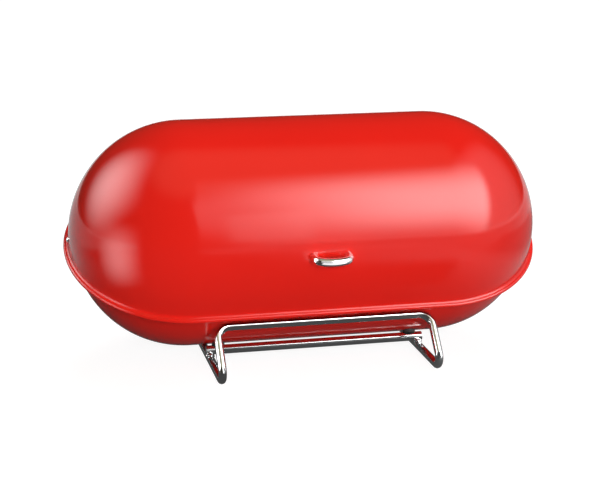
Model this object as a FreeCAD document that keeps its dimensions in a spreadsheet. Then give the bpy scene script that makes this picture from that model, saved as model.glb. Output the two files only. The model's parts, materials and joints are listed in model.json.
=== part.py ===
import FreeCAD, Part
import math
import os
import Sketcher

# Capsule bread bin on a bent wire stand, in millimetres.
# +X runs along the bin, -Y is the front, +Z is up, and the origin is on the table
# below the middle of the axis that the lid turns on.

ANY_TURN = 45  # a turn that is not 0 keeps its axis until an expression sets the angle

doc = FreeCAD.newDocument("bread_bin")
sheet = doc.addObject("Spreadsheet::Sheet", "dims")

# Driving dimensions: alias and value. Angles are in degrees.
DRIVING = {
    "span": 214,                # between the centres of the two round ends
    "lid_radius": 99,           # outside of the lid
    "gauge": 0.8,               # sheet steel of lid and bowl
    "shell_gap": 2,             # between the lid's inside and the bowl's outside
    "tilt": 24.9,               # the parting plane leans down to the front
    "skirt": 5,                 # straight wall of the lid below the axis
    "flare_radius": 5,          # hollow curve from the skirt out to the bead
    "flare_turn": 63,           # how far that curve turns
    "bead_radius": 2.4,         # rolled edge of the lid
    "collar": 8,                # straight wall of the bowl above the axis
    "rim_radius": 1.6,          # edge of the bowl, rolled inwards
    "wire": 7,                  # diameter of the stand's wire
    "seat_gap": 0.4,            # between the bowl and the wires that cradle it
    "bar_angle": 37.9,          # front bar, below the horizontal through the axis
    "leg_lean": 43.7,           # front legs, forwards from upright
    "stand_half": 92.3,         # from the middle to a leg's centre line
    "stand_rear": 108,          # from the axis back to the rear bar's centre line
    "bar_bend": 11,             # bend between front bar and leg, on the centre line
    "foot_bend": 7,             # bend between leg and runner
    "rear_bend": 20,            # bend between runner and rear bar
    "rod": 8,                   # diameter of the cross rods
    "weld": 4.3,                # radius of the weld where a rod lies on a runner
    "pad_height": 2,            # rubber saddle between bowl and rod, at its thinnest
    "pad_radius": 5.5,
    "pad_wrap": 0.6,            # depth of the groove that the rod lies in
    "pad_half": 85,             # from the middle to a saddle
    "contact": 0.05,            # air at faces that press on each other
    "pin_radius": 2,            # pivot rivet's shank
    "pin_play": 0.05,           # radial play of what turns or slips on a shank
    "pin_head": 2.4,            # radius of the rivet's heads
    "pin_dome": 1.5,            # height of the rivet's heads
    "head_gap": 0.3,            # under the rivet's outer head
    "ring_radius": 4.5,         # pivot spacers and washers
    "ring_height": 1.5,         # pivot spacers
    "washer": 1,                # thickness of all washers
    "washer_radius": 4.4,       # under the screws
    "screw_radius": 2,
    "screw_head": 3.6,
    "screw_dome": 2.4,
    "hex_radius": 1.45,         # corner radius of the screws' hexagon socket
    "hex_depth": 1.3,
    "screw_grip": 5.5,          # how far a bowl screw reaches into its rod
    "handle_wire": 7,           # diameter of the handle's rod
    "handle_half": 14.6,        # from the middle to a foot's centre line
    "handle_reach": 13.6,       # lid to the middle of the bow
    "handle_bend": 8,           # corner of the bow, on the centre line
    "handle_bow": 20,           # how far the front of the bow turns on each side
    "handle_angle": -0.5,       # place of the feet, above the horizontal through the axis
    "handle_droop": 8,          # the bow points down from square to the lid
    "handle_grip": 5,           # how far a handle screw reaches into its foot
    "handle_root": 2,           # spare length of the feet, cut back to the lid
    "soft_washer": 1.6,         # under the handle's screws, at the middle
    "drill_spare": 0.5,         # blind holes are deeper than their screws
    "cut_spare": 1,             # how far a cutting tool runs past what it cuts
    "buffer_radius": 4,
    "buffer_reach": 5.5,        # from the lid's wall inwards
    "buffer_half": 85,          # from the middle to a buffer
    "buffer_gap": 0.4,          # above the bowl's rim
}

# Worked out from the driving dimensions, in the sheet's own formulas.
WORKED_OUT = {
    "half_span": "span / 2",
    "lid_inner": "lid_radius - gauge",
    "bowl_radius": "lid_inner - shell_gap",
    "bowl_inner": "bowl_radius - gauge",
    "axis_height": "wire + seat_gap + bowl_radius",
    # The lid's flared edge: two arcs that meet smoothly, and the sheet tucked into the bead.
    "skirt_end": "-skirt",
    "flare_x": "lid_radius + flare_radius",
    "flare_inner": "flare_radius + gauge",
    "bead_span": "flare_radius + bead_radius",
    "joint_x": "flare_x - flare_radius * cos(flare_turn * 1deg)",
    "joint_z": "skirt_end - flare_radius * sin(flare_turn * 1deg)",
    "bead_x": "flare_x - bead_span * cos(flare_turn * 1deg)",
    "bead_z": "skirt_end - bead_span * sin(flare_turn * 1deg)",
    "tuck_along": "(bead_span ^ 2 + flare_inner ^ 2 - bead_radius ^ 2) / (2 * bead_span)",
    "tuck_side": "sqrt(flare_inner ^ 2 - tuck_along ^ 2)",
    "tuck_x": "flare_x - tuck_along * cos(flare_turn * 1deg) - tuck_side * sin(flare_turn * 1deg)",
    "tuck_z": "skirt_end - tuck_along * sin(flare_turn * 1deg) + tuck_side * cos(flare_turn * 1deg)",
    # The bowl's rolled rim.
    "rim_x": "bowl_radius - rim_radius",
    "rim_tuck_z": "collar - sqrt(rim_radius ^ 2 - (rim_radius - gauge) ^ 2)",
    # The stand's front bar, feet and cross rods.
    "bar_radius": "bowl_radius + seat_gap + wire / 2",
    "bar_y": "-bar_radius * cos(bar_angle * 1deg)",
    "bar_z": "axis_height - bar_radius * sin(bar_angle * 1deg)",
    "foot_y": "bar_y - (bar_z - wire / 2) * tan(leg_lean * 1deg)",
    "rod_height": "wire + rod / 2",
    "rod_drop": "axis_height - rod_height",
    "rod_reach": "bowl_radius + pad_height + rod / 2",
    "rod_y": "sqrt(rod_reach ^ 2 - rod_drop ^ 2)",
    "rod_length": "2 * stand_half + wire",
    # The bowl's screws point at the axis, and their washers seat on the curved wall.
    "screw_turn": "90deg - atan(rod_drop / rod_y)",
    "screw_seat": "bowl_inner - washer - contact - washer_radius ^ 2 / (2 * bowl_inner)",
    "screw_hole": "screw_radius + pin_play",
    "screw_length": "rod_reach - rod / 2 + screw_grip - screw_seat",
    "screw_tip": "-screw_length",
    "dome_radius": "(screw_head ^ 2 + screw_dome ^ 2) / (2 * screw_dome)",
    "dome_z": "screw_dome - dome_radius",
    # The pivot rivets, along the axis from the centre of a round end.
    "pin_hole": "pin_radius + pin_play",
    "pin_inner": "bowl_inner - washer - contact - ring_radius ^ 2 / (2 * bowl_inner)",
    "pin_outer": "lid_radius + head_gap",
    "pin_start": "pin_inner - pin_dome",
    "pin_end": "pin_outer + pin_dome",
    "pin_curve": "(pin_head ^ 2 + pin_dome ^ 2) / (2 * pin_dome)",
    "pin_start_x": "pin_start + pin_curve",
    "pin_end_x": "pin_end - pin_curve",
    # The handle's bow: legs, two corners and a slightly curved front, drawn towards -Y.
    "handle_turn": "handle_droop - handle_angle",
    "handle_y": "-lid_radius * cos(handle_angle * 1deg)",
    "handle_z": "axis_height + lid_radius * sin(handle_angle * 1deg)",
    "corner_x": "handle_half - handle_bend",
    "corner_y": "handle_bend + corner_x * tan(handle_bow * 0.5deg) - handle_reach",
    "meet_x": "corner_x + handle_bend * sin(handle_bow * 1deg)",
    "meet_y": "corner_y - handle_bend * cos(handle_bow * 1deg)",
    "front_radius": "handle_bend + corner_x / sin(handle_bow * 1deg)",
    "front_y": "corner_y + corner_x / tan(handle_bow * 1deg)",
    "handle_seat": "gauge / cos(handle_droop * 1deg) + soft_washer",
    "handle_screw": "handle_seat + handle_grip",
    "handle_tip": "-handle_screw",
    # The lid's buffers, above the bowl's rim.
    "buffer_z": "collar + rim_radius + buffer_gap + buffer_radius",
}


def fill_sheet():
    """Write each value into its own row of the sheet, with its name as the alias."""
    rows = {name: str(value) for name, value in DRIVING.items()}
    rows.update({name: "=" + formula for name, formula in WORKED_OUT.items()})
    for row, (name, content) in enumerate(rows.items(), start=1):
        sheet.set(f"A{row}", name)
        sheet.set(f"B{row}", content)
        sheet.setAlias(f"B{row}", name)
    doc.recompute()


def size(name):
    """A number from the sheet; a leading minus sign turns it round."""
    if name == "0":
        return 0.0
    if name.startswith("-"):
        return -size(name[1:])
    value = sheet.get(name)
    return float(getattr(value, "Value", value))


def cell(name):
    """The same number as an expression."""
    if name == "0":
        return "0"
    return "-dims." + name[1:] if name.startswith("-") else "dims." + name


def bind(thing, **properties):
    """Tie properties of an object to expressions; a double underscore stands for a dot."""
    for name, expression in properties.items():
        thing.setExpression(name.replace("__", "."), expression)
    return thing


def place(thing, x="0", y="0", z="0", turn=None, about=(1, 0, 0)):
    """Tie an object's place to expressions, with a turn about one axis through that place."""
    if turn:
        thing.Placement = FreeCAD.Placement(
            FreeCAD.Vector(), FreeCAD.Rotation(FreeCAD.Vector(*about), ANY_TURN)
        )
        bind(thing, Placement__Rotation__Angle=turn)
    return bind(thing, Placement__Base__x=x, Placement__Base__y=y, Placement__Base__z=z)


def cylinder(name, radius, height):
    return bind(doc.addObject("Part::Cylinder", name), Radius=radius, Height=height)


def along_axis(name, radius, length):
    """A cylinder about the bin's own axis, as long to the left as to the right."""
    thing = cylinder(name, radius, length)
    return place(thing, x=f"-({length}) / 2", z="dims.axis_height", turn="90", about=(0, 1, 0))


def cut(name, base, tool):
    thing = doc.addObject("Part::Cut", name)
    thing.Base = base
    thing.Tool = tool
    return thing


def common(name, base, tool):
    thing = doc.addObject("Part::Common", name)
    thing.Base = base
    thing.Tool = tool
    return thing


def fused(name, things):
    thing = doc.addObject("Part::MultiFuse", name)
    thing.Shapes = things
    return thing


def group(name, things):
    """Separate solids kept together, or one solid that gets a second place."""
    thing = doc.addObject("Part::Compound", name)
    thing.Links = things
    return thing


def origin_plane(body, role):
    return next(item for item in body.Origin.OriginFeatures if item.Role == role)


def new_sketch(body, name, role):
    sketch = body.newObject("Sketcher::SketchObject", name)
    sketch.AttachmentSupport = (origin_plane(body, role), "")
    sketch.MapMode = "FlatFace"
    return sketch


def limit(sketch, name, *where):
    """Add a constraint whose last argument is a name from the sheet, and tie it to its cell."""
    index = sketch.addConstraint(Sketcher.Constraint(*where, size(name)))
    sketch.setExpression(f"Constraints[{index}]", cell(name))


def hold(sketch, edge, end, corner):
    """Fix one end of an edge at a corner given by two names from the sheet."""
    for kind, name in zip(("DistanceX", "DistanceY"), corner):
        limit(sketch, name, kind, -1, 1, edge, end)


def point(corner):
    return FreeCAD.Vector(size(corner[0]), size(corner[1]), 0)


def add_edge(sketch, start, finish, arc):
    """Add one edge between two corners and say which of its ends comes first."""
    if arc is None:
        return sketch.addGeometry(Part.LineSegment(point(start), point(finish)), False), (1, 2)
    centre, radius, side = arc
    turns = []
    for end in (start, finish):
        spoke = point(end) - point(centre)
        turns.append(math.atan2(spoke.y, spoke.x))
    if side == "right":
        turns.reverse()
    circle = Part.Circle(point(centre), FreeCAD.Vector(0, 0, 1), size(radius))
    edge = sketch.addGeometry(Part.ArcOfCircle(circle, *turns), False)
    limit(sketch, radius, "Radius", edge)
    return edge, (1, 2) if side == "left" else (2, 1)


def draw(sketch, steps, closed=True):
    """Draw an outline. A step is a corner, and how the edge that leaves it runs: None for a
    straight edge, or (centre, radius, side) for an arc that turns to the left or the right."""
    count = len(steps) if closed else len(steps) - 1
    ends = []
    for number in range(count):
        corner, arc = steps[number]
        following = steps[(number + 1) % len(steps)][0]
        edge, (begin, stop) = add_edge(sketch, corner, following, arc)
        hold(sketch, edge, begin, corner)
        if ends:
            sketch.addConstraint(Sketcher.Constraint("Coincident", *ends[-1], edge, begin))
        else:
            opening = (edge, begin)
        ends.append((edge, stop))
    if closed:
        sketch.addConstraint(Sketcher.Constraint("Coincident", *ends[-1], *opening))
    else:
        hold(sketch, *ends[-1], steps[-1][0])


def turned(name, outline, role, axis):
    """A solid of revolution from a closed outline and one of its sketch's own axes."""
    body = doc.addObject("PartDesign::Body", name)
    half = new_sketch(body, name + "_outline", role)
    draw(half, outline)
    turn = body.newObject("PartDesign::Revolution", name + "_turn")
    turn.Profile = half
    turn.ReferenceAxis = (half, [axis])
    turn.Angle = 360
    return body


def capsule_shell(name, outline):
    """A half capsule from the outline of its wall: one quarter is made of a straight
    stretch and a quarter turn, and is mirrored to the left and to the front."""
    body = doc.addObject("PartDesign::Body", name)
    wall = new_sketch(body, name + "_wall", "YZ_Plane")
    bind(wall, AttachmentOffset__Base__z="dims.half_span")
    draw(wall, outline)
    straight = body.newObject("PartDesign::Pad", name + "_straight")
    straight.Profile = wall
    straight.Reversed = True
    bind(straight, Length="dims.half_span")
    end = body.newObject("PartDesign::Revolution", name + "_end")
    end.Profile = wall
    end.ReferenceAxis = (wall, ["V_Axis"])
    end.Angle = 90
    end.Reversed = True
    for side, role in (("left", "YZ_Plane"), ("front", "XZ_Plane")):
        doc.recompute()
        half = body.newObject("PartDesign::Mirrored", f"{name}_{side}")
        half.TransformMode = "Whole shape"
        half.MirrorPlane = (origin_plane(body, role), [""])
        half.Refine = False
        body.Tip = half
    return place(body, z="dims.axis_height", turn="dims.tilt")


def lid_shell():
    """Domed top, straight skirt, then a hollow flare that runs smoothly into the bead."""
    flare = ("flare_x", "skirt_end")
    return capsule_shell("lid_shell", [
        (("0", "lid_inner"), None),
        (("0", "lid_radius"), (("0", "0"), "lid_radius", "right")),
        (("lid_radius", "0"), None),
        (("lid_radius", "skirt_end"), (flare, "flare_radius", "left")),
        (("joint_x", "joint_z"), (("bead_x", "bead_z"), "bead_radius", "right")),
        (("tuck_x", "tuck_z"), (flare, "flare_inner", "right")),
        (("lid_inner", "skirt_end"), None),
        (("lid_inner", "0"), (("0", "0"), "lid_inner", "left")),
    ])


def bowl_shell():
    """Round bottom, then a straight collar whose edge is rolled inwards."""
    return capsule_shell("bowl_shell", [
        (("0", "-bowl_inner"), None),
        (("0", "-bowl_radius"), (("0", "0"), "bowl_radius", "left")),
        (("bowl_radius", "0"), None),
        (("bowl_radius", "collar"), (("rim_x", "collar"), "rim_radius", "left")),
        (("bowl_inner", "rim_tuck_z"), None),
        (("bowl_inner", "0"), (("0", "0"), "bowl_inner", "right")),
    ])


def screw(name, tip, where):
    """A domed screw with a hexagon socket. Its head sits on its own XY plane, and its
    shank points down to the tip; where puts it in place."""
    blank = turned(name + "_blank", [
        (("0", tip), None),
        (("screw_radius", tip), None),
        (("screw_radius", "0"), None),
        (("screw_head", "0"), (("0", "dome_z"), "dome_radius", "left")),
        (("0", "screw_dome"), None),
    ], "XZ_Plane", "V_Axis")
    socket = doc.addObject("Part::Prism", name + "_socket")
    socket.Polygon = 6
    bind(socket, Circumradius="dims.hex_radius", Height="dims.screw_dome")
    place(socket, z="dims.screw_dome - dims.hex_depth")
    return place(cut(name, blank, socket), **where)


def drill(name, tip, where):
    """The hole for a screw, from its head's seat to past its tip."""
    length = f"dims.{tip} - dims.drill_spare"
    shank = cylinder(name + "_bit", "dims.screw_hole", f"dims.screw_dome - ({length})")
    place(shank, z=length)
    return place(group(name, [shank]), **where)


def rounded_wire(corners, bends):
    """A path of straight runs joined by arcs, each corner with its own bend radius."""
    edges = []
    start = corners[0]
    for before, corner, after, bend in zip(corners, corners[1:], corners[2:], bends):
        back = (before - corner).normalize()
        ahead = (after - corner).normalize()
        half_angle = back.getAngle(ahead) / 2
        setback = bend / math.tan(half_angle)
        bisector = (back + ahead).normalize()
        nearest = corner + bisector * (bend / math.sin(half_angle) - bend)
        arc = Part.Arc(corner + back * setback, nearest, corner + ahead * setback)
        edges.append(Part.LineSegment(start, corner + back * setback).toShape())
        edges.append(arc.toShape())
        start = corner + ahead * setback
    edges.append(Part.LineSegment(start, corners[-1]).toShape())
    return Part.Wire(edges)


def stand_frame():
    """One closed bent wire: front bar, legs, feet, runners on the table and rear bar.
    The right half is swept and mirrored."""
    radius = size("wire") / 2
    path = rounded_wire(
        [
            FreeCAD.Vector(0, size("bar_y"), size("bar_z")),
            FreeCAD.Vector(size("stand_half"), size("bar_y"), size("bar_z")),
            FreeCAD.Vector(size("stand_half"), size("foot_y"), radius),
            FreeCAD.Vector(size("stand_half"), size("stand_rear"), radius),
            FreeCAD.Vector(0, size("stand_rear"), radius),
        ],
        [size("bar_bend"), size("foot_bend"), size("rear_bend")],
    )
    ring = Part.Circle(path.Vertexes[0].Point, FreeCAD.Vector(1, 0, 0), radius)
    right = path.makePipeShell([Part.Wire(ring.toShape())], True, False)
    left = right.mirror(FreeCAD.Vector(), FreeCAD.Vector(1, 0, 0))
    swept = right.Volume / (math.pi * radius ** 2 * path.Length)
    print(f"stand wire: {2 * path.Length:.1f} mm long, swept volume over expected {swept:.5f}")
    frame = doc.addObject("Part::Feature", "stand_frame")
    frame.Shape = right.fuse(left).removeSplitter()
    frame.Placement = FreeCAD.Placement()
    return frame


def bowl_fixings(side):
    """The two places where the bowl is screwed to one rod. Each place is a screw's own
    frame, with its head towards the axis."""
    places = []
    for end in (-1, 1):
        places.append({
            "x": f"{end} * dims.pad_half",
            "y": f"{side} * dims.screw_seat * sin(dims.screw_turn)",
            "z": "dims.axis_height - dims.screw_seat * cos(dims.screw_turn)",
            "turn": f"{side} * dims.screw_turn",
        })
    return places


def handle_fixings():
    """The two places where the handle is screwed on, from inside the lid."""
    turn = "(dims.handle_turn * 1deg)"
    places = []
    for end in (-1, 1):
        places.append({
            "x": f"{end} * dims.handle_half",
            "y": f"dims.handle_y + dims.handle_seat * cos{turn}",
            "z": f"dims.handle_z + dims.handle_seat * sin{turn}",
            "turn": "dims.handle_turn - 90",
        })
    return places


def ring(name, radius, hole, height):
    """A flat ring on its own XY plane."""
    bore = cylinder(name + "_bore", hole, f"{height} + 2 * dims.cut_spare")
    place(bore, z="-dims.cut_spare")
    return cut(name, cylinder(name + "_disc", radius, height), bore)


def washer(name, height, where):
    """A washer under a screw's head."""
    flat = ring(name + "_flat", "dims.washer_radius", "dims.screw_hole", height)
    place(flat, z=f"-({height})")
    return place(group(name, [flat]), **where)


def rod_bar(name, side, radius, length):
    """A straight bar where a cross rod lies, on top of the two runners."""
    bar = cylinder(name, radius, length)
    return place(
        bar,
        x=f"-({length}) / 2",
        y=f"{side} * dims.rod_y",
        z="dims.rod_height",
        turn="90",
        about=(0, 1, 0),
    )


def cross_rod(name, side, drills):
    """A straight rod across the two runners, drilled for the bowl's screws."""
    bar = rod_bar(name + "_bar", side, "dims.rod / 2", "dims.rod_length")
    return cut(name, bar, fused(name + "_holes", drills))


def rod_weld(name, side, end, rod_room):
    """The weld round the place where a rod touches a runner."""
    drop = doc.addObject("Part::Sphere", name + "_drop")
    bind(drop, Radius="dims.weld")
    place(drop, x=f"{end} * dims.stand_half", y=f"{side} * dims.rod_y", z="dims.wire")
    reach = "dims.weld + dims.cut_spare"
    runner_room = cylinder(name + "_runner_room", "dims.wire / 2 + dims.contact", f"2 * ({reach})")
    place(
        runner_room,
        x=f"{end} * dims.stand_half",
        y=f"{side} * dims.rod_y - ({reach})",
        z="dims.wire / 2",
        turn="-90",
    )
    return cut(name, drop, fused(name + "_room", [rod_room, runner_room]))


def bowl_pad(name, where, rooms):
    """A rubber saddle, hollowed for the bowl above it, the rod below it and its screw."""
    height = "dims.rod_reach - dims.rod / 2 + dims.pad_wrap - dims.screw_seat"
    block = place(cylinder(name + "_block", "dims.pad_radius", height), z=f"-({height})")
    placed = place(group(name + "_placed", [block]), **where)
    return cut(name, placed, fused(name + "_room", rooms))


def bow():
    """The handle's round rod, swept along its bow, with spare length at the feet."""
    body = doc.addObject("PartDesign::Body", "bow")
    path = new_sketch(body, "bow_path", "XY_Plane")
    draw(path, [
        (("-handle_half", "handle_root"), None),
        (("-handle_half", "corner_y"), (("-corner_x", "corner_y"), "handle_bend", "left")),
        (("-meet_x", "meet_y"), (("0", "front_y"), "front_radius", "left")),
        (("meet_x", "meet_y"), (("corner_x", "corner_y"), "handle_bend", "left")),
        (("handle_half", "corner_y"), None),
        (("handle_half", "handle_root"), None),
    ], closed=False)
    section = new_sketch(body, "bow_section", "XZ_Plane")
    bind(section, AttachmentOffset__Base__z="-dims.handle_root")
    circle = Part.Circle(
        FreeCAD.Vector(size("-handle_half"), 0, 0),
        FreeCAD.Vector(0, 0, 1),
        size("handle_wire") / 2,
    )
    edge = section.addGeometry(circle, False)
    hold(section, edge, 3, ("-handle_half", "0"))
    limit(section, "handle_wire", "Diameter", edge)
    sweep = body.newObject("PartDesign::AdditivePipe", "bow_sweep")
    sweep.Profile = section
    sweep.Spine = path
    return place(body, y="dims.handle_y", z="dims.handle_z", turn="dims.handle_turn")


def lid_handle(drills):
    """The bow, with its feet cut to the lid's curve and drilled for the screws."""
    lid_room = along_axis("handle_lid_room", "dims.lid_radius + dims.contact", "dims.span")
    return cut("lid_handle", bow(), fused("handle_room", [lid_room] + drills))


def pivot(name, end):
    """What holds the lid at one end: rivet, plastic spacer and washer, along +X from the
    centre of the round end, or turned to the other end."""
    where = {"x": f"{end} * dims.half_span", "z": "dims.axis_height"}
    if end < 0:
        where.update(turn="180", about=(0, 0, 1))
    rivet = turned(f"{name}_pivot_rivet", [
        (("pin_start", "0"), (("pin_start_x", "0"), "pin_curve", "right")),
        (("pin_inner", "pin_head"), None),
        (("pin_inner", "pin_radius"), None),
        (("pin_outer", "pin_radius"), None),
        (("pin_outer", "pin_head"), (("pin_end_x", "0"), "pin_curve", "right")),
        (("pin_end", "0"), None),
    ], "XY_Plane", "H_Axis")
    place(rivet, **where)
    rings = [rivet]
    for kind, start, height in (
        ("spacer", "dims.bowl_radius + dims.contact", "dims.ring_height"),
        ("washer", "dims.pin_inner", "dims.washer"),
    ):
        flat = ring(f"{name}_{kind}_flat", "dims.ring_radius", "dims.pin_hole", height)
        place(flat, x=start, turn="90", about=(0, 1, 0))
        rings.append(place(group(f"{name}_pivot_{kind}", [flat]), **where))
    return rings


def lid_buffer(name, end, lid_room):
    """A rubber stop inside the lid's front, just above the bowl's rim."""
    stop = cylinder(name + "_stop", "dims.buffer_radius", "dims.buffer_reach")
    lean = "(dims.tilt * 1deg)"
    place(
        stop,
        x=f"{end} * dims.buffer_half",
        y=f"-dims.lid_inner * cos{lean} - dims.buffer_z * sin{lean}",
        z=f"dims.axis_height - dims.lid_inner * sin{lean} + dims.buffer_z * cos{lean}",
        turn="dims.tilt - 90",
    )
    return common(name, stop, lid_room)


fill_sheet()

drill_length = "dims.span + 2 * (dims.lid_radius + dims.cut_spare)"
pivot_drill = along_axis("pivot_drill", "dims.pin_hole", drill_length)
bowl_room = along_axis("bowl_room", "dims.bowl_radius + dims.contact", "dims.span")
lid_room = along_axis("lid_room", "dims.lid_inner - dims.contact", "dims.span")

nodes = [stand_frame()]
bowl_drills = []
bowl_screws = []
bowl_washers = []
bowl_pads = []
rod_welds = []
for rod_name, side in (("front", -1), ("rear", 1)):
    room_length = "dims.rod_length + 2 * dims.weld"
    rod_room = rod_bar(f"{rod_name}_rod_room", side, "dims.rod / 2 + dims.contact", room_length)
    holes = []
    for end, where in zip((-1, 1), bowl_fixings(side)):
        name = f"{rod_name}_{'left' if end < 0 else 'right'}"
        hole = drill(f"{name}_bowl_drill", "screw_tip", where)
        holes.append(hole)
        bowl_screws.append(screw(f"{name}_bowl_screw", "screw_tip", where))
        bowl_washers.append(washer(f"{name}_bowl_washer", "dims.washer", where))
        bowl_pads.append(bowl_pad(f"{name}_bowl_pad", where, [bowl_room, rod_room, hole]))
        rod_welds.append(rod_weld(f"{name}_weld", side, end, rod_room))
    nodes.append(cross_rod(f"{rod_name}_cross_rod", side, holes))
    bowl_drills += holes

handle_drills = []
handle_screws = []
handle_washers = []
for end, where in zip(("left", "right"), handle_fixings()):
    name = f"{end}_handle"
    handle_drills.append(drill(f"{name}_drill", "handle_tip", where))
    handle_screws.append(screw(f"{name}_screw", "handle_tip", where))
    soft = washer(f"{name}_soft", "dims.handle_seat", where)
    handle_washers.append(common(f"{name}_washer", soft, lid_room))

lid_buffers = [lid_buffer("left_buffer", -1, lid_room), lid_buffer("right_buffer", 1, lid_room)]

nodes += [
    cut("lid", lid_shell(), fused("lid_holes", [pivot_drill] + handle_drills)),
    cut("bowl", bowl_shell(), fused("bowl_holes", [pivot_drill] + bowl_drills)),
    lid_handle(handle_drills),
]
nodes += pivot("left", -1)
nodes += pivot("right", 1)
nodes += [
    group("rod_welds", rod_welds),
    group("bowl_screws", bowl_screws),
    group("bowl_washers", bowl_washers),
    group("bowl_pads", bowl_pads),
    group("handle_screws", handle_screws),
    group("handle_washers", handle_washers),
    group("lid_buffers", lid_buffers),
]
doc.recompute()

for thing in doc.Objects:
    if {"Invalid", "Error"} & set(thing.State):
        raise RuntimeError(f"{thing.Label} did not compute: {thing.State}")
os.makedirs("parts", exist_ok=True)
for node in nodes:
    if node.Shape.isNull() or not node.Shape.isValid():
        raise RuntimeError(f"{node.Label} is not a valid shape")
    node.Shape.exportStep(f"parts/{node.Label}.step")
    print(f"{node.Label}: {len(node.Shape.Solids)} solids, {node.Shape.Volume:.1f} mm3")
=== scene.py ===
# %% [markdown]
# A capsule bread bin. Two pressed steel shells in gloss red enamel nest in each other: the bowl
# is screwed to a stand of bent chrome wire, and the lid turns back over it on two end rivets.
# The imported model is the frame. The main sizes are read from it, and the small ones are named
# in the step that first needs them.

# %% Load the frame
import json
import math
import bpy
from mathutils import Matrix, Quaternion, Vector


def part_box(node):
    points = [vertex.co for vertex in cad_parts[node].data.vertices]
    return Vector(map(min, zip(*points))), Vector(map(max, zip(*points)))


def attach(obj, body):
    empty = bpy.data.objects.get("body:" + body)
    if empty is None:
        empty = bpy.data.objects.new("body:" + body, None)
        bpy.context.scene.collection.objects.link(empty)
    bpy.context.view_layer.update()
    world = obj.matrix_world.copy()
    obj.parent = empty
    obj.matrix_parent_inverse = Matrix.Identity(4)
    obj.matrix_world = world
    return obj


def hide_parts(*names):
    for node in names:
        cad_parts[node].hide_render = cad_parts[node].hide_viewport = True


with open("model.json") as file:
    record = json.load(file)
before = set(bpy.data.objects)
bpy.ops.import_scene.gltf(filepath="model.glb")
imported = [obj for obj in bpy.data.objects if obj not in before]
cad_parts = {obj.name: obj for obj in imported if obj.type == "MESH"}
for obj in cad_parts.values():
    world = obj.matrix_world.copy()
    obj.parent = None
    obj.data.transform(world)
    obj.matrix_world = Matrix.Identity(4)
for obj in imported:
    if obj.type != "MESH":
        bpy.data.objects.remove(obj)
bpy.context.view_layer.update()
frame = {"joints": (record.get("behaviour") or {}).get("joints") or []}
scene = bpy.context.scene

# %% [markdown]
# The sizes come first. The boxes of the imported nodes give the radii, the length and the stand.
# The small ones, such as the rolled edges, are the sheet-metal worker's own numbers in metres.

# %% Sizes
AXIS = Vector(frame["joints"][0]["pos_m"])
lid_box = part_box("lid")
bowl_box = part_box("bowl")
stand_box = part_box("stand_frame")
rod_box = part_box("front_cross_rod")
LID_RADIUS = lid_box[1].z - AXIS.z
BOWL_RADIUS = AXIS.z - bowl_box[0].z
HALF_SPAN = bowl_box[1].x - BOWL_RADIUS
SHEET = 0.0008
TILT = math.radians(24.9)
ROD_RADIUS = (rod_box[1].z - rod_box[0].z) / 2
WIRE_RADIUS = 0.0035
STAND_HALF = stand_box[1].x - WIRE_RADIUS
BASE = "base"
LID = "lid"
print(f"lid radius {LID_RADIUS:.4f}, bowl radius {BOWL_RADIUS:.4f}, half span {HALF_SPAN:.4f}")

# %% [markdown]
# The camera stands a little left of the middle and looks down on the front. A lens of 90 mm
# keeps the long bin from bulging, as a product photographer would choose. Its place was solved
# from the outline of the two domes in the photo, so its numbers aren't round.

# %% Camera
LENS = 89.79
FILM_WIDTH = 36
EYE = Vector((-0.28376, -1.24998, 0.30594)) + AXIS
LOOK_DOWN = math.radians(13.895)
LOOK_RIGHT = math.radians(12.622)

bpy.ops.object.select_all(action="DESELECT")
bpy.ops.object.camera_add(location=EYE, rotation=(math.pi / 2 - LOOK_DOWN, 0, -LOOK_RIGHT))
camera = bpy.context.object
camera.data.lens = LENS
camera.data.sensor_width = FILM_WIDTH
camera.data.sensor_fit = "HORIZONTAL"
scene.camera = camera
scene.view_settings.view_transform = "Standard"
print("camera with a lens of", LENS, "mm")

# %% [markdown]
# Shader maths reads best as maths. This class wraps an output socket, so that an expression on
# it adds the Math nodes by itself. Every other node goes through one function: its type, its
# settings, and the values or links of its inputs.

# %% Sockets
class Value:
    """An output socket that takes part in Python arithmetic."""

    def __init__(self, tree, socket):
        self.tree = tree
        self.socket = socket

    def maths(self, operation, *values):
        return node(self.tree, "ShaderNodeMath", {"operation": operation}, dict(enumerate(values)))

    def __add__(self, other):
        return self.maths("ADD", self, other)

    def __sub__(self, other):
        return self.maths("SUBTRACT", self, other)

    def __rsub__(self, other):
        return self.maths("SUBTRACT", other, self)

    def __mul__(self, other):
        return self.maths("MULTIPLY", self, other)

    def __abs__(self):
        return self.maths("ABSOLUTE", self)

    __radd__ = __add__
    __rmul__ = __mul__


def node(tree, kind, settings=None, inputs=None, output=0):
    """Add a node, set it up, feed its inputs and return one of its outputs."""
    made = tree.nodes.new(kind)
    for name, value in (settings or {}).items():
        setattr(made, name, value)
    for name, value in (inputs or {}).items():
        if isinstance(value, Value):
            tree.links.new(value.socket, made.inputs[name])
        else:
            made.inputs[name].default_value = value
    return Value(tree, made.outputs[output])


def smooth_step(value, start, end):
    """0 at start, 1 at end, and smooth between."""
    settings = {"interpolation_type": "SMOOTHSTEP"}
    inputs = {"Value": value, "From Min": start, "From Max": end}
    return node(value.tree, "ShaderNodeMapRange", settings, inputs)


def mix_colour(share, first, second):
    """Blend two colours."""
    inputs = {"Factor": share, 6: first, 7: second}
    return node(share.tree, "ShaderNodeMix", {"data_type": "RGBA"}, inputs, output=2)


def noise(place, scale, detail=2.0):
    """Soft noise from 0 to 1; scale counts its waves in a metre."""
    inputs = {"Vector": place, "Scale": scale, "Detail": detail}
    return node(place.tree, "ShaderNodeTexNoise", None, inputs)


def along(place, axis):
    """One coordinate of a place: 0 is X, 1 is Y and 2 is Z."""
    return node(place.tree, "ShaderNodeSeparateXYZ", None, {0: place}, output=axis)


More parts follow.
